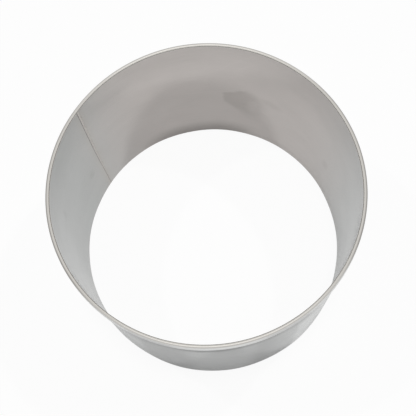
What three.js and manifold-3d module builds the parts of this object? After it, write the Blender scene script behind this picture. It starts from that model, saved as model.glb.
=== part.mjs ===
// Pastry mousse ring: one strip of stainless sheet rolled into a hoop, its top edge folded outwards into a hem,
// and the butt weld that closes the hoop. Millimetres, +Z up, origin at the centre of the bottom edge.
// The weld lies on the +Y side.
import * as THREE from 'three';
import { mergeVertices } from 'three/addons/utils/BufferGeometryUtils.js';
import Module from 'manifold-3d';

const wasm = await Module();
wasm.setup();

// Driving dimensions
const BORE_DIAMETER = 70;
const RING_HEIGHT = 50;
const SHEET_THICKNESS = 0.4;
const EDGE_RADIUS = 0.1;
const HEM_HEIGHT = 3.5;
const HEM_FOLD_GAP = 0.1;
const HEM_BOW_DEGREES = 8;
const WELD_WIDTH = 0.6;
const WELD_CROWN = 0.05;

// Facets
const HOOP_SEGMENTS = 120;
const FOLD_OUTSIDE_SEGMENTS = 4;
const FOLD_INSIDE_SEGMENTS = 2;
const FLAP_SEGMENTS = 4;
const EDGE_SEGMENTS = 2;
const CROWN_SEGMENTS = 6;

// Colours and finishes
const SATIN_STEEL = { color: 0xb9b7b3, roughness: 0.38, metalness: 1 };
const WELD_STEEL = { color: 0x9c9890, roughness: 0.5, metalness: 1 };

// Where the sheet runs
const boreRadius = BORE_DIAMETER / 2;
const wallRadius = boreRadius + SHEET_THICKNESS;
const foldInside = HEM_FOLD_GAP / 2;
const foldOutside = foldInside + SHEET_THICKNESS;
const foldCentre = new THREE.Vector2(wallRadius + foldInside, RING_HEIGHT - foldOutside);
const edgeRadius = Math.min(EDGE_RADIUS, SHEET_THICKNESS / 3);

// The hem's flap bows outwards: its arc leaves the fold smoothly and ends at the fold's own radius.
const bow = THREE.MathUtils.degToRad(HEM_BOW_DEGREES);
const flapTop = foldCentre.y + foldOutside * Math.sin(bow);
const flapChord = flapTop - (RING_HEIGHT - HEM_HEIGHT);
const flapOutside = flapChord / (2 * Math.sin(bow));
const flapInside = flapOutside - SHEET_THICKNESS;
const flapCentre = new THREE.Vector2(
  foldCentre.x + (foldOutside - flapOutside) * Math.cos(bow),
  foldCentre.y + (foldOutside - flapOutside) * Math.sin(bow),
);
const hemRadius = flapCentre.x + flapOutside;

const TOP = Math.PI / 2;

function arcPoints(centre, radius, start, end, segments) {
  const clockwise = end < start;
  const arc = new THREE.EllipseCurve(centre.x, centre.y, radius, radius, start, end, clockwise);
  return arc.getPoints(segments);
}

// The sheet's end, with both corners rounded off, from its inner side to its outer. The sheet runs down to
// it, tilted by turn.
function sheetEndPoints(innerCorner, turn) {
  const across = new THREE.Vector2(Math.cos(turn), Math.sin(turn));
  const back = new THREE.Vector2(-Math.sin(turn), Math.cos(turn)).multiplyScalar(edgeRadius);
  const innerCentre = innerCorner.clone().add(back).addScaledVector(across, edgeRadius);
  const outerCentre = innerCorner.clone().add(back);
  outerCentre.addScaledVector(across, SHEET_THICKNESS - edgeRadius);
  const tip = 1.5 * Math.PI + turn;
  return [
    ...arcPoints(innerCentre, edgeRadius, tip - Math.PI / 2, tip, EDGE_SEGMENTS),
    ...arcPoints(outerCentre, edgeRadius, tip, tip + Math.PI / 2, EDGE_SEGMENTS),
  ];
}

// Section of the folded strip, anticlockwise: X is the radius and Y the height. Where one arc runs into the
// next, only one of them has the point that they share.
function stripSection() {
  const flapCorner = new THREE.Vector2(
    flapCentre.x + flapInside * Math.cos(bow),
    flapCentre.y - flapInside * Math.sin(bow),
  );
  return [
    ...sheetEndPoints(new THREE.Vector2(boreRadius, 0), 0),
    ...arcPoints(foldCentre, foldInside, Math.PI, TOP, FOLD_INSIDE_SEGMENTS),
    ...arcPoints(foldCentre, foldInside, TOP, bow, FOLD_INSIDE_SEGMENTS).slice(1),
    ...arcPoints(flapCentre, flapInside, bow, -bow, FLAP_SEGMENTS).slice(1, -1),
    ...sheetEndPoints(flapCorner, -bow),
    ...arcPoints(flapCentre, flapOutside, -bow, bow, FLAP_SEGMENTS).slice(1, -1),
    ...arcPoints(foldCentre, foldOutside, bow, TOP, FOLD_OUTSIDE_SEGMENTS),
    ...arcPoints(foldCentre, foldOutside, TOP, Math.PI, FOLD_OUTSIDE_SEGMENTS).slice(1),
  ];
}

function toSolid(geometry) {
  const bare = geometry.clone();
  bare.deleteAttribute('normal');
  bare.deleteAttribute('uv');
  const merged = mergeVertices(bare);
  const mesh = new wasm.Mesh({
    numProp: 3,
    vertProperties: Float32Array.from(merged.attributes.position.array),
    triVerts: Uint32Array.from(merged.index.array),
  });
  return new wasm.Manifold(mesh);
}

function toGeometry(solid) {
  const mesh = solid.getMesh();
  const geometry = new THREE.BufferGeometry();
  geometry.setAttribute('position', new THREE.BufferAttribute(mesh.vertProperties, 3));
  geometry.setIndex(new THREE.BufferAttribute(mesh.triVerts, 1));
  geometry.computeVertexNormals();
  return geometry;
}

// The whole hoop, with no seam yet.
function hoopGeometry() {
  const section = stripSection();
  const geometry = new THREE.LatheGeometry([...section, section[0]], HOOP_SEGMENTS);
  return geometry.rotateX(Math.PI / 2);
}

// The gap between the strip's two ends, which the weld fills.
function seamGapGeometry() {
  const margin = SHEET_THICKNESS;
  const inner = boreRadius - margin;
  const outer = hemRadius + margin;
  const geometry = new THREE.BoxGeometry(WELD_WIDTH, outer - inner, RING_HEIGHT + 2 * margin);
  return geometry.translate(0, (inner + outer) / 2, RING_HEIGHT / 2);
}

// The weld metal in the gap: the strip's own section, one weld wide.
function weldCoreGeometry() {
  const section = new THREE.Shape(stripSection());
  const geometry = new THREE.ExtrudeGeometry(section, { depth: WELD_WIDTH, bevelEnabled: false });
  geometry.translate(0, 0, -WELD_WIDTH / 2);
  const radius = new THREE.Vector3(0, 1, 0);
  const height = new THREE.Vector3(0, 0, 1);
  const across = new THREE.Vector3(1, 0, 0);
  return geometry.applyMatrix4(new THREE.Matrix4().makeBasis(radius, height, across));
}

// The root bead: a low rounded ridge up the inside of the wall, from the bottom edge to the fold.
function weldCrownGeometry() {
  const halfWidth = WELD_WIDTH / 2;
  const arcRadius = (halfWidth ** 2 + WELD_CROWN ** 2) / (2 * WELD_CROWN);
  const halfAngle = Math.asin(halfWidth / arcRadius);
  const arcCentre = new THREE.Vector2(0, boreRadius - WELD_CROWN + arcRadius);
  const crest = 1.5 * Math.PI;
  const midSheet = boreRadius + SHEET_THICKNESS / 2;
  const ridge = new THREE.Shape([
    ...arcPoints(arcCentre, arcRadius, crest - halfAngle, crest + halfAngle, CROWN_SEGMENTS),
    new THREE.Vector2(halfWidth, midSheet),
    new THREE.Vector2(-halfWidth, midSheet),
  ]);
  const ridgeHeight = foldCentre.y - edgeRadius;
  const geometry = new THREE.ExtrudeGeometry(ridge, { depth: ridgeHeight, bevelEnabled: false });
  return geometry.translate(0, 0, edgeRadius);
}

function namedMesh(name, solid, finish) {
  const mesh = new THREE.Mesh(toGeometry(solid), new THREE.MeshStandardMaterial(finish));
  mesh.name = name;
  return mesh;
}

function ringBand() {
  const band = toSolid(hoopGeometry()).subtract(toSolid(seamGapGeometry()));
  return namedMesh('ring_band', band, SATIN_STEEL);
}

function seamWeld() {
  const weld = toSolid(weldCoreGeometry()).add(toSolid(weldCrownGeometry()));
  return namedMesh('seam_weld', weld, WELD_STEEL);
}

const mousseRing = new THREE.Group();
mousseRing.add(ringBand(), seamWeld());

export default mousseRing;
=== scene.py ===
# Looks of a pastry mousse ring: satin stainless sheet with a folded hem, closed by one fine butt weld.
# Metres, +Z up, the ring standing on the floor. The weld lies on the +Y side.
import math

import bpy
import numpy as np
from mathutils import Matrix, Vector


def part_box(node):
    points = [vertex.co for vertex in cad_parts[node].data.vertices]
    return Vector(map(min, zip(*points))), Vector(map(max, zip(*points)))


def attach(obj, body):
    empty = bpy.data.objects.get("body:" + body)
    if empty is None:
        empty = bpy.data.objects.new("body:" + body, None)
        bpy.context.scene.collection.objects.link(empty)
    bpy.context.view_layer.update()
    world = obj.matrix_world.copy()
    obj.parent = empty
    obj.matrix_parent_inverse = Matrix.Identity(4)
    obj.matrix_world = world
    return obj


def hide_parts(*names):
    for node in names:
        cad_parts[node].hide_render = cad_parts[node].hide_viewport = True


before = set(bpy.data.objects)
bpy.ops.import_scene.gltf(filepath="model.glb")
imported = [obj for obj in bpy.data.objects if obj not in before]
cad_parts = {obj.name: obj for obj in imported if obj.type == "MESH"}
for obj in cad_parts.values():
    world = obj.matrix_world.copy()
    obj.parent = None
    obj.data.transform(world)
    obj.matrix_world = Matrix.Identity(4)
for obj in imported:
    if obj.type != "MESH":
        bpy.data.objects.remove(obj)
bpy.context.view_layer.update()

MM = 0.001

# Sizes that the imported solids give
RING_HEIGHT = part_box("ring_band")[1].z
WELD_HALF_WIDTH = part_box("seam_weld")[1].x

# Sizes of the sheet and its hem
BORE_RADIUS = 35 * MM
SHEET_THICKNESS = 0.4 * MM
WALL_RADIUS = BORE_RADIUS + SHEET_THICKNESS
MID_SHEET_RADIUS = BORE_RADIUS + SHEET_THICKNESS / 2
EDGE_RADIUS = 0.1 * MM
HEM_HEIGHT = 3.5 * MM
HEM_EDGE = RING_HEIGHT - HEM_HEIGHT
HEM_FOLD_GAP = 0.1 * MM
HEM_BOW = math.radians(8)

# Sizes of the weld, and of the dark line beside one toe of it that leans across it towards the foot
WELD_CROWN = 0.014 * MM
WELD_RIPPLE_PITCH = 0.8 * MM
WELD_RIPPLE_DEPTH = 0.003 * MM
WELD_RIPPLE_BEND = 0.4
WELD_END_FADE = 1.5 * MM
WELD_DRESSED_SINK = 0.008 * MM
WELD_LINE_PLACE = -0.42 * MM
WELD_LINE_WIDTH = 0.09 * MM
WELD_LINE_DEPTH = 0.004 * MM
WELD_LINE_LEAN = 0.55 * MM
WELD_LEAN_TOP = 30 * MM
WELD_LEAN_END = -5 * MM

# How finely the surfaces are divided
HOOP_STEPS = 360
WALL_STEPS = 32
FOLD_STEPS = 12
FLAP_STEPS = 12
EDGE_STEPS = 4
WELD_COLUMNS = 30
WELD_WALL_STEPS = 400

# The sheet is never quite true below its stiff hem: (waves round the ring, waves up the wall, phase)
WALL_WAVES = ((3, 0.5, 0.4), (5, 0.9, 2.2), (8, 1.3, 4.1), (13, 0.7, 1.0))
WALL_WAVE_DEPTH = 0.025 * MM
WALL_WAVE_FADE = 6 * MM
# The hem's cut edge is never quite level: (waves round the ring, phase)
HEM_EDGE_WAVES = ((4, 0.3), (11, 1.9), (23, 3.0))
HEM_EDGE_WAVE_DEPTH = 0.025 * MM


def side(degrees):
    """The direction from the ring's axis to the place so many degrees round from the weld."""
    angle = math.radians(90 + degrees)
    return math.cos(angle), math.sin(angle), 0


# Sides of the ring. The front is the side that the photograph was taken from.
FRONT_SIDE = side(129.2)
BACK_SIDE = side(309.2)
# The side where a warm reflection is painted into the steel's colour
WARM_SIDE = side(294.2)
# The side of the outer wall where shade is painted
PAINTED_SHADE_SIDE = side(119.2)
# The middle between the two flanks where shade is painted into the aslant reflection
FLANKS_MIDDLE = side(127.2)

# Noise patterns: cells to the metre, levels of detail, how rough these are, and distortion
GRAIN = {"cells": (60, 3500, 1), "detail": 4, "roughness": 0.6}
PEBBLE = {"cells": (7000, 9000, 1), "detail": 1}
CLOUD = {"cells": (70, 90, 1), "detail": 3, "roughness": 0.55, "distortion": 0.4}
WELD_MOTTLE = {"cells": (2500, 700, 1), "detail": 4, "roughness": 0.6, "distortion": 0.3}
WELD_LINE_PATCHES = {"cells": (0, 0, 450)}

# Finishes. Two radii or heights, a reach, a spread or a fade say where something starts to show and where
# it is full. A band says where it is full, and soft is how far it fades beyond. A reach is measured from
# the ring's axis towards a side, and a spread in a noise pattern's range. Two covers or roughnesses are the
# values at both ends, and a single roughness is added to the rest.
NOISE_SPREAD = (0.3, 0.7)
BORE_RADII = (MID_SHEET_RADIUS + 0.05 * MM, MID_SHEET_RADIUS - 0.05 * MM)
BORE_HEIGHTS = (RING_HEIGHT - 0.2 * MM, RING_HEIGHT - 0.5 * MM)

# Bare sheet. An edge tint is what the steel reflects when it is seen aslant.
STEEL_COOL = (0.532, 0.544, 0.537, 1)
# The warm steel colour is a painted warm reflection, spread over its reach towards the warm side
STEEL_WARM_PAINTED_REFLECTION = (0.585, 0.549, 0.528, 1)
WARM_REACH = (0.1 * BORE_RADIUS, 0.85 * BORE_RADIUS)
STEEL_EDGE_TINT = (0.92, 0.92, 0.92, 1)
CLOUD_SHADE = (0.965, 0.965, 0.965, 1)
CLOUD_ROUGHNESS = (0.11, 0.15)
GRAIN_SHADE = (0.97, 0.97, 0.97, 1)
GRAIN_SPREAD = (0.35, 0.65)
GRAIN_ROUGHNESS = (-0.02, 0.03)
GRAIN_ANISOTROPY = 0.25
PEBBLE_RELIEF = 0.15
SHEET_RELIEF_DEPTH = 0.004 * MM
SHEET_RELIEF_STRENGTH = 0.3

# Outer wall: painted shade on one side of the ring and painted light round to the next
OUTSIDE_PAINTED_LIGHT = (1.3, 1.3, 1.3, 1)
OUTSIDE_PAINTED_SHADE = (0.76, 0.76, 0.76, 1)
OUTSIDE_PAINTED_SHADE_REACH = (0.74 * BORE_RADIUS, 0.94 * BORE_RADIUS)
# Painted shade on two flanks of the outer wall, which reflect less when seen aslant
FLANKS_PAINTED_SHADE_TINT = (0.78, 0.78, 0.78, 1)
FLANKS_BAND = (0.875 * BORE_RADIUS, 0.972 * BORE_RADIUS)
FLANKS_SOFT = 0.03 * BORE_RADIUS

# Rim, with painted light and shade: a painted reflection on the fold, a painted highlight on its crest,
# painted shade outside the crest at two sides and a painted reflection on the hem's bulge
RIM_PAINTED_REFLECTION = (0.53, 0.515, 0.49, 1)
RIM_HEIGHTS = (RING_HEIGHT - 0.55 * MM, RING_HEIGHT - 0.35 * MM)
CREST_PAINTED_HIGHLIGHT = (0.58, 0.562, 0.53, 1)
CREST_RADII = (WALL_RADIUS + 0.2 * MM, WALL_RADIUS + 0.05 * MM)
SHOULDER_PAINTED_SHADE = (0.36, 0.345, 0.325, 1)
SHOULDER_RADII = (WALL_RADIUS + 0.08 * MM, WALL_RADIUS + 0.24 * MM)
SHOULDER_REACH = (0.75 * BORE_RADIUS, 0.45 * BORE_RADIUS)
BULGE_PAINTED_REFLECTION = (0.86, 0.86, 0.845, 1)
BULGE_RADII = (WALL_RADIUS + 0.32 * MM, WALL_RADIUS + 0.45 * MM)
BULGE_BAND = (RING_HEIGHT - 2.2 * MM, RING_HEIGHT - 0.4 * MM)
BULGE_SOFT = 0.5 * MM

# Cut edges
BARE_EDGE_STEEL = (0.62, 0.615, 0.60, 1)
BARE_EDGE_ROUGHNESS = 0.1
BARE_FOOT_HEIGHTS = (0.12 * MM, 0.06 * MM)
BARE_HEM_RADII = (WALL_RADIUS + 0.08 * MM, WALL_RADIUS + 0.12 * MM)
BARE_HEM_BAND = (HEM_EDGE - 0.1 * MM, HEM_EDGE + 0.12 * MM)
BARE_HEM_SOFT = 0.05 * MM

# Soil and painted shade in the slit under the hem
SLIT_SOIL_AND_SHADE = (0.16, 0.155, 0.145, 1)
SLIT_ROUGHNESS = 0.25
SLIT_RADII_BAND = (WALL_RADIUS - 0.1 * MM, WALL_RADIUS + 0.1 * MM)
SLIT_RADII_SOFT = 0.03 * MM
SLIT_HEIGHTS_BAND = (HEM_EDGE - 0.35 * MM, RING_HEIGHT - 0.6 * MM)
SLIT_HEIGHTS_SOFT = 0.4 * MM
SLIT_SPREAD = (0.2, 0.7)
SLIT_COVER = (0.75, 1.0)

# A film of soil and painted shade on the outer wall below the slit, which comes less far down at the front.
# Its fade is in shares of how far it comes down.
FILM_SOIL_AND_SHADE = (0.84, 0.835, 0.825, 1)
# The film's soil and painted shade also reflect less when seen aslant
FILM_EDGE_TINT = (0.6, 0.6, 0.6, 1)
FILM_RADII = (WALL_RADIUS + 0.12 * MM, WALL_RADIUS + 0.06 * MM)
FILM_FADE = (1.0, 0.45)
FILM_FRONT_REACH = (0.82 * WALL_RADIUS, 0.97 * WALL_RADIUS)
FILM_DEPTH = 16 * MM
FILM_FRONT_DEPTH = 8 * MM

# Painted shade along the foot of the bore, and painted shade that deepens towards its rim
FOOT_PAINTED_SHADE = (0.62, 0.615, 0.61, 1)
FOOT_PAINTED_SHADE_REACH = (0.85 * BORE_RADIUS, 0.99 * BORE_RADIUS)
FOOT_PAINTED_SHADE_HEIGHTS = (8 * MM, 0)
UPPER_PAINTED_SHADE = (0.86, 0.86, 0.86, 1)
UPPER_PAINTED_SHADE_REACH = (-0.5 * BORE_RADIUS, 0.3 * BORE_RADIUS)
UPPER_PAINTED_SHADE_HEIGHTS = (30 * MM, RING_HEIGHT)

# Marks on the bore, whose outlines wander
MARK_SHADE = (0.86, 0.855, 0.85, 1)
MARK_ROUGHNESS = 0.05
MARK_WANDER = 2.5 * MM
MARK_WANDER_CELLS = 260.0
MARK_WANDER_DETAIL = 3.0
# A dark wedge, by its corners: degrees round from the weld, height, softness of the edge that follows
DARK_WEDGE = (
    {"round": 297, "height": 25.2 * MM, "soft": 0.8 * MM},
    {"round": 286, "height": 28.8 * MM, "soft": 2.5 * MM},
    {"round": 278, "height": 26 * MM, "soft": 4.5 * MM},
    {"round": 281, "height": 11 * MM, "soft": 4.5 * MM},
    {"round": 289.5, "height": 13.5 * MM, "soft": 1.5 * MM},
    {"round": 296.8, "height": 20.5 * MM, "soft": 0.8 * MM},
)
# Dark ovals: degrees round from the weld, height, half length, half width, turn and cover
DARK_OVALS = (
    {"round": 275.5, "height": 25.2 * MM, "length": 4.2 * MM, "width": 2.4 * MM, "turn": 10, "cover": 0.45},
    {"round": 33.3, "height": 32.5 * MM, "length": 0.9 * MM, "width": 2.6 * MM, "turn": 0, "cover": 0.5},
    {"round": 241.4, "height": 17.3 * MM, "length": 1.5 * MM, "width": 3.2 * MM, "turn": 0, "cover": 0.5},
    {"round": 7, "height": 18 * MM, "length": 1.6 * MM, "width": 2.4 * MM, "turn": 0, "cover": 0.5},
)
# A patch where the wedge is fainter, given as a dark oval is
FAINT_PATCH = {
    "round": 283.5, "height": 19.5 * MM, "length": 2.2 * MM, "width": 4.8 * MM, "turn": 0, "cover": 0.6,
}
# In half lengths and half widths from an oval's middle
OVAL_FADE = (1.1, 0.3)

# Hairline scratches: their angles to the grain in degrees, and the spacing along and across them
SCRATCH_TURNS = (8, -13, 47)
SCRATCH_LENGTH = 30 * MM
SCRATCH_WIDTH = 0.2 * MM
SCRATCH_SPREAD = (0.68, 0.72)
SCRATCH_SHINE = (1.05, 1.05, 1.05, 1)
SCRATCH_RELIEF = -0.6

# Weld, the dark line beside it, which is strongest near the rim, and the sheet that its heat has tinted
WELD_STEEL = (0.575, 0.55, 0.524, 1)
WELD_DRESSED_STEEL = (0.535, 0.525, 0.51, 1)
WELD_MOTTLE_SHADE = (0.94, 0.935, 0.925, 1)
WELD_ROUGHNESS = (0.18, 0.26)
WELD_BORE_ROUGHNESS = 0.04
WELD_RELIEF_DEPTH = 0.006 * MM
WELD_RELIEF_STRENGTH = 0.4
WELD_TOE_SHADE = (0.75, 0.74, 0.72, 1)
WELD_TOE_BAND = (0.24 * MM, 0.28 * MM)
WELD_TOE_SOFT = 0.03 * MM
WELD_SIDE_REACH = (0, BORE_RADIUS / 2)
WELD_LINE = (0.10, 0.092, 0.085, 1)
WELD_LINE_FADE = (1.2 * WELD_LINE_WIDTH, 0.4 * WELD_LINE_WIDTH)
WELD_LINE_HEIGHTS = (2 * MM, 46 * MM)
WELD_LINE_COVER = (0.6, 1.0)
WELD_PATCH_SPREAD = (0.3, 0.6)
WELD_PATCH_COVER = (0.7, 1.0)
HEAT_TINT = (0.985, 0.97, 0.95, 1)
HEAT_TINT_FADE = (2.4 * MM, 0.3 * MM)

# Camera, at the photograph's viewing angle
CAMERA_AZIMUTH = math.radians(-50.8)
CAMERA_RIGHT = Vector((math.cos(CAMERA_AZIMUTH), math.sin(CAMERA_AZIMUTH), 0))
CAMERA_AHEAD = Vector((-math.sin(CAMERA_AZIMUTH), math.cos(CAMERA_AZIMUTH), 0))
CAMERA_ELEVATION = math.radians(72.41)
CAMERA_ROLL = math.radians(-7.26)
CAMERA_AIM = Vector((0, 0, 33.8 * MM))
CAMERA_DISTANCE = 190 * MM
CAMERA_LENS = 67.9
CAMERA_NEAR = 10 * MM

# Studio
FLOOR_SIZE = 6.0
FLOOR_COLOUR = (0.86, 0.86, 0.86, 1)
FLOOR_WHITE_SEEN = 0.92
FLOOR_WHITE_REFLECTED = 0.185
FILL_STRENGTH = 0.19
WHITE = (1, 1, 1, 1)
# Lamps, by how far they stand above the floor, to the ring's right and behind it, as the camera sees it
LAMPS = {
    "top_lamp": {"up": 1.5, "right": 0.03, "behind": -0.02, "diameter": 0.18, "floor_light": 0.30},
    "left_lamp": {"up": 0.5, "right": -0.215, "behind": 0.113, "diameter": 0.02, "floor_light": 0.12},
    "right_lamp": {"up": 0.5, "right": 0.215, "behind": 0.113, "diameter": 0.02, "floor_light": 0.143},
    "soft_panel": {"up": 1.5, "right": 0.0, "behind": -0.12, "diameter": 0.8, "floor_light": 0.042},
}
MIRRORED_LAMP = "soft_panel"


# Section of the folded sheet

def arc(centre, radius, start, end, steps):
    """Points of an arc, as rows of distance from the axis and height."""
    angles = np.linspace(start, end, steps + 1)
    return np.column_stack((centre[0] + radius * np.cos(angles), centre[1] + radius * np.sin(angles)))


def line(start, end, steps):
    """Points between two ends, without the ends, closer together near both."""
    shares = (1 - np.cos(np.linspace(0, math.pi, steps + 1)[1:-1, None])) / 2
    return np.array(start) * (1 - shares) + np.array(end) * shares


def sheet_end(inner_corner, turn):
    """The sheet's end with both corners rounded off, from its inner side to its outer."""
    across = np.array((math.cos(turn), math.sin(turn)))
    back = np.array((-math.sin(turn), math.cos(turn))) * EDGE_RADIUS
    inner_centre = inner_corner + back + across * EDGE_RADIUS
    outer_centre = inner_corner + back + across * (SHEET_THICKNESS - EDGE_RADIUS)
    tip = 1.5 * math.pi + turn
    return np.vstack((
        arc(inner_centre, EDGE_RADIUS, tip - math.pi / 2, tip, EDGE_STEPS),
        arc(outer_centre, EDGE_RADIUS, tip, tip + math.pi / 2, EDGE_STEPS),
    ))


def strip_stretches(wall_steps):
    """The folded strip's outline in named stretches, anticlockwise from the bottom of the bore."""
    top = math.pi / 2
    fold_inside = HEM_FOLD_GAP / 2
    fold_outside = fold_inside + SHEET_THICKNESS
    fold_centre = np.array((WALL_RADIUS + fold_inside, RING_HEIGHT - fold_outside))
    flap_top = fold_centre[1] + fold_outside * math.sin(HEM_BOW)
    flap_outside = (flap_top - HEM_EDGE) / (2 * math.sin(HEM_BOW))
    flap_inside = flap_outside - SHEET_THICKNESS
    lean = np.array((math.cos(HEM_BOW), math.sin(HEM_BOW)))
    flap_centre = fold_centre + (fold_outside - flap_outside) * lean
    flap_corner = flap_centre + flap_inside * lean * (1, -1)
    bottom_edge = sheet_end(np.array((BORE_RADIUS, 0)), 0)
    fold_in = arc(fold_centre, fold_inside, math.pi, HEM_BOW, 2 * FOLD_STEPS)
    flap_in = arc(flap_centre, flap_inside, HEM_BOW, -HEM_BOW, FLAP_STEPS)[1:-1]
    flap_out = arc(flap_centre, flap_outside, -HEM_BOW, HEM_BOW, FLAP_STEPS)[1:-1]
    fold_up = arc(fold_centre, fold_outside, HEM_BOW, top, FOLD_STEPS)
    fold_down = arc(fold_centre, fold_outside, top, math.pi, FOLD_STEPS)[1:]
    return {
        "bottom_edge": bottom_edge,
        "outer_wall": line(bottom_edge[-1], fold_in[0], wall_steps),
        "fold_inside": fold_in,
        "flap": np.vstack((flap_in, sheet_end(flap_corner, -HEM_BOW), flap_out)),
        "fold_outside": np.vstack((fold_up, fold_down)),
        "bore": line(fold_down[-1], bottom_edge[0], wall_steps),
    }


def rows_of(stretches, name):
    """Ones for the outline's points that belong to one stretch, noughts for the others."""
    return np.concatenate([np.full(len(points), float(key == name)) for key, points in stretches.items()])


def outline_lengths(section):
    """How far along the closed outline each point lies, and the whole length last."""
    closed = np.vstack((section, section[:1]))
    steps = np.linalg.norm(np.diff(closed, axis=0), axis=1)
    return np.concatenate(((0,), np.cumsum(steps)))


def wall_drift(angle, height):
    """How far the wall strays from true, along the radius, which fades out below the hem."""
    share_up = height / RING_HEIGHT
    drift = sum(
        np.sin(round_count * angle + 2 * math.pi * up_count * share_up + phase)
        for round_count, up_count, phase in WALL_WAVES
    )
    below_hem = (HEM_EDGE - height) / WALL_WAVE_FADE
    return WALL_WAVE_DEPTH * drift * np.clip(below_hem, 0, 1) ** 2


def hem_edge_drift(angle, height):
    """How far the hem's flap strays from level, most at its cut edge."""
    drift = sum(np.sin(count * angle + phase) for count, phase in HEM_EDGE_WAVES)
    return HEM_EDGE_WAVE_DEPTH * drift * ((RING_HEIGHT - height) / HEM_HEIGHT) ** 2


def weld_lean(height):
    """How far the dark line has moved across the weld at a height."""
    share = np.clip((WELD_LEAN_TOP - height) / (WELD_LEAN_TOP - WELD_LEAN_END), 0, 1)
    return WELD_LINE_LEAN * share ** 2 * (3 - 2 * share)


def weld_relief(across, height):
    """How far the weld stands proud of the bore, across its width from -1 to 1 and up the seam."""
    ridge = 1 - across ** 2
    ripple = np.sin(2 * math.pi * (height / WELD_RIPPLE_PITCH + WELD_RIPPLE_BEND * across ** 2))
    from_line = across * WELD_HALF_WIDTH - WELD_LINE_PLACE - weld_lean(height)
    groove = WELD_LINE_DEPTH * np.exp(-(from_line / WELD_LINE_WIDTH) ** 2)
    from_end = np.minimum(height, RING_HEIGHT - height) / WELD_END_FADE
    return (ridge * (WELD_CROWN + WELD_RIPPLE_DEPTH * (ripple - 1)) - groove) * np.clip(from_end, 0, 1)


# Meshes

def swept_corners(columns, rows):
    """Corners, as column and row, of the quads between columns of a closed outline and of the two end caps,
    which have the first and the last column to themselves. The row that closes the outline is counted on
    past the last one."""
    quads = [
        ((column, row), (column + 1, row), (column + 1, row + 1), (column, row + 1))
        for column in range(1, columns - 2)
        for row in range(rows)
    ]
    first_cap = [(0, row) for row in range(rows)]
    last_cap = [(columns - 1, row) for row in reversed(range(rows))]
    return [first_cap, *quads, last_cap]


def add_piece(name, points, sheet_map, material, node):
    """A smooth-shaded sweep of an outline that stands for a CAD node, with its map of the flat sheet."""
    points, sheet_map = (np.concatenate((grid[:1], grid, grid[-1:])) for grid in (points, sheet_map))
    columns, rows = points.shape[:2]
    corners = swept_corners(columns, rows)
    faces = [[column * rows + row % rows for column, row in face] for face in corners]
    mesh = bpy.data.meshes.new(name)
    mesh.from_pydata(points.reshape(-1, 3).tolist(), [], faces)
    places = np.array([corner for face in corners for corner in face])
    layer = mesh.uv_layers.new(name="sheet")
    layer.uv.foreach_set("vector", sheet_map[places[:, 0], places[:, 1]].astype(np.float32).ravel())
    mesh.shade_smooth()
    mesh.materials.append(material)
    piece = bpy.data.objects.new(name, mesh)
    bpy.context.scene.collection.objects.link(piece)
    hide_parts(node)
    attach(piece, "root")


def flat_map(down, across):
    """A map with one place for each column and row: one column of values, and one row of values."""
    return np.stack(np.broadcast_arrays(down[:, None], across[None, :]), axis=-1)


def ring_band(material):
    """The rolled and folded strip, from one side of the weld right round to the other."""
    stretches = strip_stretches(WALL_STEPS)
    section = np.vstack(list(stretches.values()))
    shares = np.linspace(0, 1, HOOP_STEPS + 1)
    half_gap = np.arcsin(WELD_HALF_WIDTH / section[:, 0])
    angle = math.pi / 2 + half_gap + shares[:, None] * (2 * math.pi - 2 * half_gap)
    height = section[:, 1] + rows_of(stretches, "flap") * hem_edge_drift(angle, section[:, 1])
    radius = section[:, 0] + wall_drift(angle, height)
    points = np.stack((radius * np.cos(angle), radius * np.sin(angle), height), axis=-1)
    sheet_map = flat_map(shares * 2 * math.pi * BORE_RADIUS, outline_lengths(section))
    add_piece("ring_band_sheet", points, sheet_map, material, "ring_band")


def seam_weld(material):
    """The weld metal in the seam: a fine rippled root bead on the bore, dressed flush outside."""
    stretches = strip_stretches(WELD_WALL_STEPS)
    section = np.vstack(list(stretches.values()))
    across = np.linspace(1, -1, WELD_COLUMNS + 1)
    x = across[:, None] * WELD_HALF_WIDTH
    height = section[:, 1] + np.zeros_like(x)
    bore_rows = rows_of(stretches, "bore")
    relief = bore_rows * weld_relief(across[:, None], height)
    sink = (1 - bore_rows) * WELD_DRESSED_SINK * (1 - across[:, None] ** 2)
    angle = math.pi / 2 - x / BORE_RADIUS
    radius = section[:, 0] + wall_drift(angle, height) - relief - sink
    points = np.stack((x + np.zeros_like(height), np.sqrt(radius ** 2 - x ** 2), height), axis=-1)
    sheet_map = flat_map(x[:, 0], outline_lengths(section))
    add_piece("seam_weld_bead", points, sheet_map, material, "seam_weld")


# Materials

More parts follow.
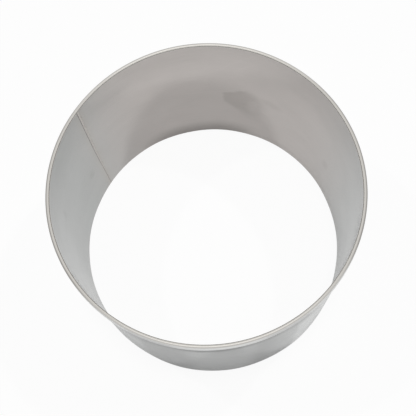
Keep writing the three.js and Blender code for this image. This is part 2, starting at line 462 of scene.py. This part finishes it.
class Graph:
    """Short ways to add shader nodes. A value given for an input may be a number, a colour or a socket."""

    def __init__(self, tree):
        self.tree = tree
        tree.nodes.clear()

    def set(self, socket, value):
        if isinstance(value, bpy.types.NodeSocket):
            self.tree.links.new(value, socket)
        else:
            socket.default_value = value

    def node(self, kind, inputs=None, **settings):
        made = self.tree.nodes.new(kind)
        for name, value in settings.items():
            setattr(made, name, value)
        for key, value in (inputs or {}).items():
            self.set(made.inputs[key], value)
        return made

    def math(self, operation, *values):
        return self.node("ShaderNodeMath", dict(enumerate(values)), operation=operation).outputs[0]

    def both(self, first, *others):
        """The product of masks: one where all of them are one."""
        for other in others:
            first = self.math("MULTIPLY", first, other)
        return first

    def ramp(self, value, low, high, to_low=0.0, to_high=1.0):
        ends = {"Value": value, "From Min": low, "From Max": high, "To Min": to_low, "To Max": to_high}
        made = self.node("ShaderNodeMapRange", ends, interpolation_type="SMOOTHSTEP")
        return made.outputs["Result"]

    def band(self, value, low, high, soft):
        """One between two ends, fading out beyond them."""
        return self.both(self.ramp(value, low - soft, low), self.ramp(value, high + soft, high))

    def within(self, vector, length, width, turn, middle=(0, 0, 0)):
        """The place on a turned oval: how many lengths and widths from its middle."""
        inputs = {"Vector": vector, "Location": middle, "Rotation": (0, 0, math.radians(turn))}
        inputs["Scale"] = (length, width, 1)
        return self.node("ShaderNodeMapping", inputs, vector_type="TEXTURE").outputs["Vector"]

    def noise(self, vector, detail=2.0, roughness=0.5, distortion=0.0):
        inputs = {"Vector": vector, "Scale": 1.0, "Detail": detail, "Roughness": roughness}
        inputs["Distortion"] = distortion
        return self.node("ShaderNodeTexNoise", inputs).outputs["Fac"]

    def pattern(self, vector, cells, **settings):
        """Noise with so many cells to the metre along each axis."""
        stretched = self.node("ShaderNodeMapping", {"Vector": vector, "Scale": cells})
        return self.noise(stretched.outputs["Vector"], **settings)

    def mix(self, share, first, second, blend="MIX"):
        made = self.node("ShaderNodeMix", data_type="RGBA", blend_type=blend)
        self.set(made.inputs[0], share)
        self.set(made.inputs[6], first)
        self.set(made.inputs[7], second)
        return made.outputs[2]

    def tint(self, share, colour, shade):
        """A colour that is multiplied by a shade, as far as the share goes."""
        return self.mix(share, colour, shade, "MULTIPLY")

    def vector(self, operation, *values):
        return self.node("ShaderNodeVectorMath", dict(enumerate(values)), operation=operation).outputs[0]

    def dot(self, first, second):
        made = self.node("ShaderNodeVectorMath", {0: first, 1: second}, operation="DOT_PRODUCT")
        return made.outputs["Value"]

    def length(self, vector):
        return self.node("ShaderNodeVectorMath", {0: vector}, operation="LENGTH").outputs["Value"]

    def bump(self, relief, depth, strength):
        inputs = {"Height": relief, "Distance": depth, "Strength": strength}
        return self.node("ShaderNodeBump", inputs).outputs["Normal"]

    def sheet(self):
        """The place on the flat sheet: metres round the ring and metres along the section's outline."""
        return self.node("ShaderNodeUVMap", uv_map="sheet").outputs["UV"]


class Place:
    """Where a shaded point lies on the ring: X and Y, height and distance from the axis."""

    def __init__(self, graph):
        self.point = graph.node("ShaderNodeTexCoord").outputs["Object"]
        parts = graph.node("ShaderNodeSeparateXYZ", {0: self.point})
        self.x, self.y, self.height = (parts.outputs[axis] for axis in "XYZ")
        flat = graph.node("ShaderNodeCombineXYZ", {"X": self.x, "Y": self.y})
        self.radius = graph.length(flat.outputs[0])


def new_material(name):
    material = bpy.data.materials.new(name)
    material.use_nodes = True
    return material, Graph(material.node_tree)


def on_bore(graph, place):
    """One on the bore's face, nought on the sheet's outer face and above the fold."""
    return graph.both(graph.ramp(place.radius, *BORE_RADII), graph.ramp(place.height, *BORE_HEIGHTS))


def sheet_tint(graph, place, cloud):
    """Bare steel, softly mottled, with a painted warm reflection on one side of the ring."""
    warm = graph.ramp(graph.dot(place.point, WARM_SIDE), *WARM_REACH)
    colour = graph.mix(warm, STEEL_COOL, STEEL_WARM_PAINTED_REFLECTION)
    return graph.tint(graph.ramp(cloud, *NOISE_SPREAD), colour, CLOUD_SHADE)


def outside_painted_light_and_shade(graph, place):
    """The outer wall's painted light and shade: painted shade on one side of the ring and painted light
    round to the next.
    """
    dull = graph.ramp(graph.dot(place.point, PAINTED_SHADE_SIDE), *OUTSIDE_PAINTED_SHADE_REACH)
    return graph.mix(dull, OUTSIDE_PAINTED_LIGHT, OUTSIDE_PAINTED_SHADE)


def flanks_painted_shade(graph, place):
    """Painted shade on two stretches of the wall, either side of one place on it, which reflect less when
    seen aslant.
    """
    return graph.band(graph.dot(place.point, FLANKS_MIDDLE), *FLANKS_BAND, FLANKS_SOFT)


def rim_painted_light(graph, place, colour):
    """The fold's painted reflection, with a painted highlight on its crest and painted shade outside it at
    two sides, and a painted reflection on the hem's pale bulge.
    """
    fold = graph.ramp(place.height, *RIM_HEIGHTS)
    crest = graph.both(fold, graph.ramp(place.radius, *CREST_RADII))
    bulge = graph.both(
        graph.band(place.height, *BULGE_BAND, BULGE_SOFT),
        graph.ramp(place.radius, *BULGE_RADII),
    )
    to_front_or_back = graph.math("ABSOLUTE", graph.dot(place.point, BACK_SIDE))
    shoulder = graph.both(
        fold,
        graph.ramp(place.radius, *SHOULDER_RADII),
        graph.ramp(to_front_or_back, *SHOULDER_REACH),
    )
    colour = graph.mix(fold, colour, RIM_PAINTED_REFLECTION)
    colour = graph.mix(crest, colour, CREST_PAINTED_HIGHLIGHT)
    colour = graph.mix(bulge, colour, BULGE_PAINTED_REFLECTION)
    return graph.mix(shoulder, colour, SHOULDER_PAINTED_SHADE)


def bare_edges(graph, place):
    """The strip's two cut edges, worn bright: the ring's foot and the hem's lower edge."""
    foot = graph.ramp(place.height, *BARE_FOOT_HEIGHTS)
    hem = graph.both(
        graph.band(place.height, *BARE_HEM_BAND, BARE_HEM_SOFT),
        graph.ramp(place.radius, *BARE_HEM_RADII),
    )
    return graph.math("MAXIMUM", foot, hem)


def slit_soil_and_shade(graph, place, cloud):
    """Soil and painted shade in the slit between the hem and the wall, and on the wall just under it."""
    return graph.both(
        graph.band(place.radius, *SLIT_RADII_BAND, SLIT_RADII_SOFT),
        graph.band(place.height, *SLIT_HEIGHTS_BAND, SLIT_HEIGHTS_SOFT),
        graph.ramp(cloud, *SLIT_SPREAD, *SLIT_COVER),
    )


def soil_and_shade_film(graph, place):
    """A film of soil and painted shade on the wall under the hem, which comes less far down at the front.
    """
    towards_front = graph.dot(place.point, FRONT_SIDE)
    depth = graph.ramp(towards_front, *FILM_FRONT_REACH, FILM_DEPTH, FILM_FRONT_DEPTH)
    below_hem = graph.math("SUBTRACT", HEM_EDGE, place.height)
    return graph.both(
        graph.ramp(graph.math("DIVIDE", below_hem, depth), *FILM_FADE),
        graph.ramp(place.radius, *FILM_RADII),
    )


def bore_map(graph, sheet, place):
    """The place on the bore: metres round from the weld and height, wandering a little."""
    across = graph.node("ShaderNodeSeparateXYZ", {0: sheet}).outputs["X"]
    flat = graph.node("ShaderNodeCombineXYZ", {"X": across, "Y": place.height}).outputs[0]
    inputs = {"Vector": flat, "Scale": MARK_WANDER_CELLS, "Detail": MARK_WANDER_DETAIL}
    wander = graph.node("ShaderNodeTexNoise", inputs).outputs["Color"]
    shift = graph.vector("SUBTRACT", wander, (0.5, 0.5, 0.5))
    return graph.vector("MULTIPLY_ADD", shift, (MARK_WANDER, MARK_WANDER, 0), flat)


def on_bore_map(mark):
    """A mark's place on that map."""
    return Vector((math.radians(mark["round"]) * BORE_RADIUS, mark["height"], 0))


def dark_oval(graph, flat, mark):
    """One dark oval."""
    from_middle = graph.within(flat, mark["length"], mark["width"], mark["turn"], on_bore_map(mark))
    return graph.ramp(graph.length(from_middle), *OVAL_FADE, 0.0, mark["cover"])


def dark_wedge(graph, flat):
    """One dark wedge-shaped patch with some edges crisp and some soft, fainter in one place."""
    edges = []
    for corner, following in zip(DARK_WEDGE, DARK_WEDGE[1:] + DARK_WEDGE[:1]):
        run = on_bore_map(following) - on_bore_map(corner)
        inward = Vector((-run.y, run.x, 0)).normalized()
        edge = on_bore_map(corner).dot(inward)
        edges.append(graph.ramp(graph.dot(flat, inward), edge - corner["soft"] / 2, edge + corner["soft"]))
    return graph.both(*edges, graph.math("SUBTRACT", 1.0, dark_oval(graph, flat, FAINT_PATCH)))


def dark_marks(graph, sheet, place):
    """Faint marks on the bore, which break up at their edges."""
    flat = bore_map(graph, sheet, place)
    cover = dark_wedge(graph, flat)
    for mark in DARK_OVALS:
        cover = graph.math("MAXIMUM", cover, dark_oval(graph, flat, mark))
    return cover


def foot_painted_shade(graph, place):
    """Painted shade along the foot, on one side of the bore."""
    towards_back = graph.ramp(graph.dot(place.point, BACK_SIDE), *FOOT_PAINTED_SHADE_REACH)
    return graph.both(towards_back, graph.ramp(place.height, *FOOT_PAINTED_SHADE_HEIGHTS))


def upper_painted_shade(graph, place):
    """Painted shade that slowly deepens towards the rim, over half of the bore."""
    towards_back = graph.ramp(graph.dot(place.point, BACK_SIDE), *UPPER_PAINTED_SHADE_REACH)
    return graph.both(towards_back, graph.ramp(place.height, *UPPER_PAINTED_SHADE_HEIGHTS))


def scratches(graph, sheet):
    """A few hairlines at odd angles to the grain."""
    cover = 0.0
    for turn in SCRATCH_TURNS:
        along = graph.within(sheet, SCRATCH_LENGTH, SCRATCH_WIDTH, turn)
        hairlines = graph.ramp(graph.noise(along, detail=1.0), *SCRATCH_SPREAD)
        cover = graph.math("MAXIMUM", cover, hairlines)
    return cover


def on_weld_side(graph, place):
    """The side of the ring that the weld is on."""
    return graph.ramp(place.y, *WELD_SIDE_REACH)


def beside_weld(graph, place):
    """The strip of sheet next to the weld that its heat has tinted."""
    near = graph.ramp(graph.math("ABSOLUTE", place.x), *HEAT_TINT_FADE)
    return graph.both(near, on_weld_side(graph, place))


def weld_line(graph, place):
    """The dark line beside the weld, strongest near the rim and patchy."""
    last = WELD_LINE_PLACE + WELD_LINE_LEAN
    centre = graph.ramp(place.height, WELD_LEAN_TOP, WELD_LEAN_END, WELD_LINE_PLACE, last)
    from_line = graph.math("ABSOLUTE", graph.math("SUBTRACT", place.x, centre))
    patches = graph.pattern(place.point, **WELD_LINE_PATCHES)
    return graph.both(
        graph.ramp(from_line, *WELD_LINE_FADE),
        on_weld_side(graph, place),
        graph.ramp(place.height, *WELD_LINE_HEIGHTS, *WELD_LINE_COVER),
        graph.ramp(patches, *WELD_PATCH_SPREAD, *WELD_PATCH_COVER),
    )


class SheetWear:
    """The sheet's patterns, marks, and soil with painted shade, as masks from nought to one."""

    def __init__(self, graph, place):
        sheet = graph.sheet()
        self.grain = graph.pattern(sheet, **GRAIN)
        self.pebble = graph.pattern(sheet, **PEBBLE)
        self.cloud = graph.pattern(sheet, **CLOUD)
        self.bore = on_bore(graph, place)
        self.outside = graph.math("SUBTRACT", 1.0, self.bore)
        self.marks = graph.both(dark_marks(graph, sheet, place), self.bore)
        self.scratch = scratches(graph, sheet)
        self.slit = slit_soil_and_shade(graph, place, self.cloud)
        self.film = graph.both(soil_and_shade_film(graph, place), self.outside)
        self.edges = bare_edges(graph, place)


def satin_colour(graph, place, wear):
    """The sheet's colour: its broad tints, painted light and shade, its marks, the rim's painted light and
    shade, the cut edges and the slit's soil and painted shade.
    """
    colour = sheet_tint(graph, place, wear.cloud)
    # Painted light and shade on the outer wall
    colour = graph.tint(wear.outside, colour, outside_painted_light_and_shade(graph, place))
    colour = graph.tint(graph.ramp(wear.grain, *GRAIN_SPREAD), colour, GRAIN_SHADE)
    colour = graph.tint(beside_weld(graph, place), colour, HEAT_TINT)
    colour = graph.mix(graph.both(weld_line(graph, place), wear.bore), colour, WELD_LINE)
    colour = graph.tint(wear.marks, colour, MARK_SHADE)
    colour = graph.tint(wear.scratch, colour, SCRATCH_SHINE)
    # Painted shade along the bore's foot and towards its rim
    colour = graph.tint(graph.both(foot_painted_shade(graph, place), wear.bore), colour, FOOT_PAINTED_SHADE)
    colour = graph.tint(graph.both(upper_painted_shade(graph, place), wear.bore), colour, UPPER_PAINTED_SHADE)
    colour = graph.tint(wear.film, colour, FILM_SOIL_AND_SHADE)
    colour = rim_painted_light(graph, place, colour)
    colour = graph.mix(wear.edges, colour, BARE_EDGE_STEEL)
    return graph.mix(wear.slit, colour, SLIT_SOIL_AND_SHADE)


def satin_edge_tint(graph, place, wear):
    """What the sheet reflects when it is seen aslant: less on two stretches of the wall, as painted shade,
    and on the film of soil and painted shade.
    """
    flanks = graph.both(flanks_painted_shade(graph, place), wear.outside)
    tint = graph.mix(flanks, STEEL_EDGE_TINT, FLANKS_PAINTED_SHADE_TINT)
    return graph.mix(wear.film, tint, FILM_EDGE_TINT)


def satin_roughness(graph, wear):
    """The sheet's satin, rougher where it is marked, in the slit and on the cut edges."""
    clouded = graph.ramp(wear.cloud, *NOISE_SPREAD, *CLOUD_ROUGHNESS)
    grained = graph.ramp(wear.grain, *NOISE_SPREAD, *GRAIN_ROUGHNESS)
    roughness = graph.math("ADD", clouded, grained)
    roughness = graph.math("MULTIPLY_ADD", wear.marks, MARK_ROUGHNESS, roughness)
    roughness = graph.math("MULTIPLY_ADD", wear.slit, SLIT_ROUGHNESS, roughness)
    return graph.math("MULTIPLY_ADD", wear.edges, BARE_EDGE_ROUGHNESS, roughness)


def finish_metal(graph, colour, edge_tint, roughness, normal):
    """Joins up a metal's shader: its colours, roughness, fine relief and the way that its grain runs."""
    tangent = graph.node("ShaderNodeTangent", direction_type="UV_MAP", uv_map="sheet")
    shader = graph.node("ShaderNodeBsdfPrincipled", {
        "Base Color": colour,
        "Metallic": 1.0,
        "Roughness": roughness,
        "Anisotropic": GRAIN_ANISOTROPY,
        "Specular Tint": edge_tint,
        "Normal": normal,
        "Tangent": tangent.outputs["Tangent"],
    })
    graph.node("ShaderNodeOutputMaterial", {"Surface": shader.outputs["BSDF"]})


def satin_steel():
    """Cold-rolled stainless sheet: grain along the strip, painted light and shade on the rim, dark marks
    and hairline scratches.
    """
    material, graph = new_material("satin_steel")
    place = Place(graph)
    wear = SheetWear(graph, place)
    relief = graph.math("MULTIPLY_ADD", wear.pebble, PEBBLE_RELIEF, wear.grain)
    relief = graph.math("MULTIPLY_ADD", wear.scratch, SCRATCH_RELIEF, relief)
    finish_metal(
        graph,
        satin_colour(graph, place, wear),
        satin_edge_tint(graph, place, wear),
        satin_roughness(graph, wear),
        graph.bump(relief, SHEET_RELIEF_DEPTH, SHEET_RELIEF_STRENGTH),
    )
    return material


def weld_steel():
    """Weld metal: dull and heat-tinted on the bore, a dark line leaning across it, and dressed outside."""
    material, graph = new_material("weld_steel")
    place = Place(graph)
    bore = on_bore(graph, place)
    mottle = graph.pattern(graph.sheet(), **WELD_MOTTLE)
    far_toe = graph.both(graph.band(place.x, *WELD_TOE_BAND, WELD_TOE_SOFT), bore)

    colour = graph.mix(bore, WELD_DRESSED_STEEL, WELD_STEEL)
    colour = graph.tint(graph.ramp(mottle, *NOISE_SPREAD), colour, WELD_MOTTLE_SHADE)
    colour = graph.mix(graph.both(weld_line(graph, place), bore), colour, WELD_LINE)
    colour = graph.tint(far_toe, colour, WELD_TOE_SHADE)
    # Painted light and shade on the rim, as on the sheet
    colour = rim_painted_light(graph, place, colour)

    mottled = graph.ramp(mottle, *NOISE_SPREAD, *WELD_ROUGHNESS)
    roughness = graph.math("MULTIPLY_ADD", bore, WELD_BORE_ROUGHNESS, mottled)
    normal = graph.bump(mottle, WELD_RELIEF_DEPTH, WELD_RELIEF_STRENGTH)
    finish_metal(graph, colour, STEEL_EDGE_TINT, roughness, normal)
    return material


# Studio

def seen_share(graph, seen, reflected):
    """How much of the plain white a ray gets: one share for the camera's own rays, one for reflections."""
    path = graph.node("ShaderNodeLightPath")
    mirrored = graph.math("MAXIMUM", path.outputs["Is Glossy Ray"], path.outputs["Is Transmission Ray"])
    reflection = graph.math("MULTIPLY", mirrored, reflected)
    direct = graph.math("MULTIPLY", path.outputs["Is Camera Ray"], seen)
    return graph.math("MAXIMUM", direct, reflection)


def add_floor():
    """A plain pale floor, clear from below so that the ring's foot can be looked at."""
    half = FLOOR_SIZE / 2
    mesh = bpy.data.meshes.new("floor")
    corners = [(-half, -half, 0), (half, -half, 0), (half, half, 0), (-half, half, 0)]
    mesh.from_pydata(corners, [], [(0, 1, 2, 3)])
    material, graph = new_material("pale_floor")
    matte = graph.node("ShaderNodeBsdfDiffuse", {"Color": FLOOR_COLOUR})
    white = graph.node("ShaderNodeEmission", {"Color": WHITE, "Strength": 1.0})
    share = seen_share(graph, FLOOR_WHITE_SEEN, FLOOR_WHITE_REFLECTED)
    top = graph.node("ShaderNodeMixShader", {0: share, 1: matte.outputs[0], 2: white.outputs[0]})
    clear = graph.node("ShaderNodeBsdfTransparent", {"Color": WHITE})
    below = graph.node("ShaderNodeNewGeometry").outputs["Backfacing"]
    surface = graph.node("ShaderNodeMixShader", {0: below, 1: top.outputs[0], 2: clear.outputs[0]})
    graph.node("ShaderNodeOutputMaterial", {"Surface": surface.outputs[0]})
    mesh.materials.append(material)
    floor = bpy.data.objects.new("floor", mesh)
    bpy.context.scene.collection.objects.link(floor)


def add_world():
    """Plain white where it is seen or mirrored, and a soft fill for everything else."""
    world = bpy.data.worlds.new("studio")
    world.use_nodes = True
    bpy.context.scene.world = world
    graph = Graph(world.node_tree)
    fill = graph.node("ShaderNodeBackground", {"Color": WHITE, "Strength": FILL_STRENGTH})
    white = graph.node("ShaderNodeBackground", {"Color": WHITE, "Strength": 1.0})
    share = seen_share(graph, 1.0, 1.0)
    surface = graph.node("ShaderNodeMixShader", {0: share, 1: fill.outputs[0], 2: white.outputs[0]})
    graph.node("ShaderNodeOutputWorld", {"Surface": surface.outputs[0]})


def add_lamp(name, up, right, behind, diameter, floor_light):
    """A round soft lamp, which gives the floor under the ring this share of plain white. The steel mirrors
    only the broad panel overhead."""
    lamp = bpy.data.lights.new(name, "AREA")
    lamp.shape = "DISK"
    lamp.size = diameter
    light = bpy.data.objects.new(name, lamp)
    bpy.context.scene.collection.objects.link(light)
    light.location = CAMERA_RIGHT * right + CAMERA_AHEAD * behind + Vector((0, 0, up))
    light.rotation_euler = light.location.to_track_quat("Z", "Y").to_euler()
    distance = light.location.length
    lamp.energy = floor_light / FLOOR_COLOUR[0] * math.pi ** 2 * distance ** 3 / up
    light.visible_camera = False
    light.visible_glossy = name == MIRRORED_LAMP


def add_camera():
    """The photograph's camera, by the way that it faces, its roll and the point that it aims at."""
    data = bpy.data.cameras.new("camera")
    data.lens = CAMERA_LENS
    data.clip_start = CAMERA_NEAR
    camera = bpy.data.objects.new("camera", data)
    bpy.context.scene.collection.objects.link(camera)
    back = Vector((0, 0, math.sin(CAMERA_ELEVATION))) - CAMERA_AHEAD * math.cos(CAMERA_ELEVATION)
    upright = Matrix((CAMERA_RIGHT, back.cross(CAMERA_RIGHT), back)).transposed()
    turned = upright @ Matrix.Rotation(CAMERA_ROLL, 3, "Z")
    camera.matrix_world = Matrix.Translation(CAMERA_AIM + back * CAMERA_DISTANCE) @ turned.to_4x4()
    bpy.context.scene.camera = camera


ring_band(satin_steel())
seam_weld(weld_steel())
add_floor()
add_world()
for name, lamp in LAMPS.items():
    add_lamp(name, **lamp)
add_camera()
bpy.context.scene.view_settings.view_transform = "Standard"
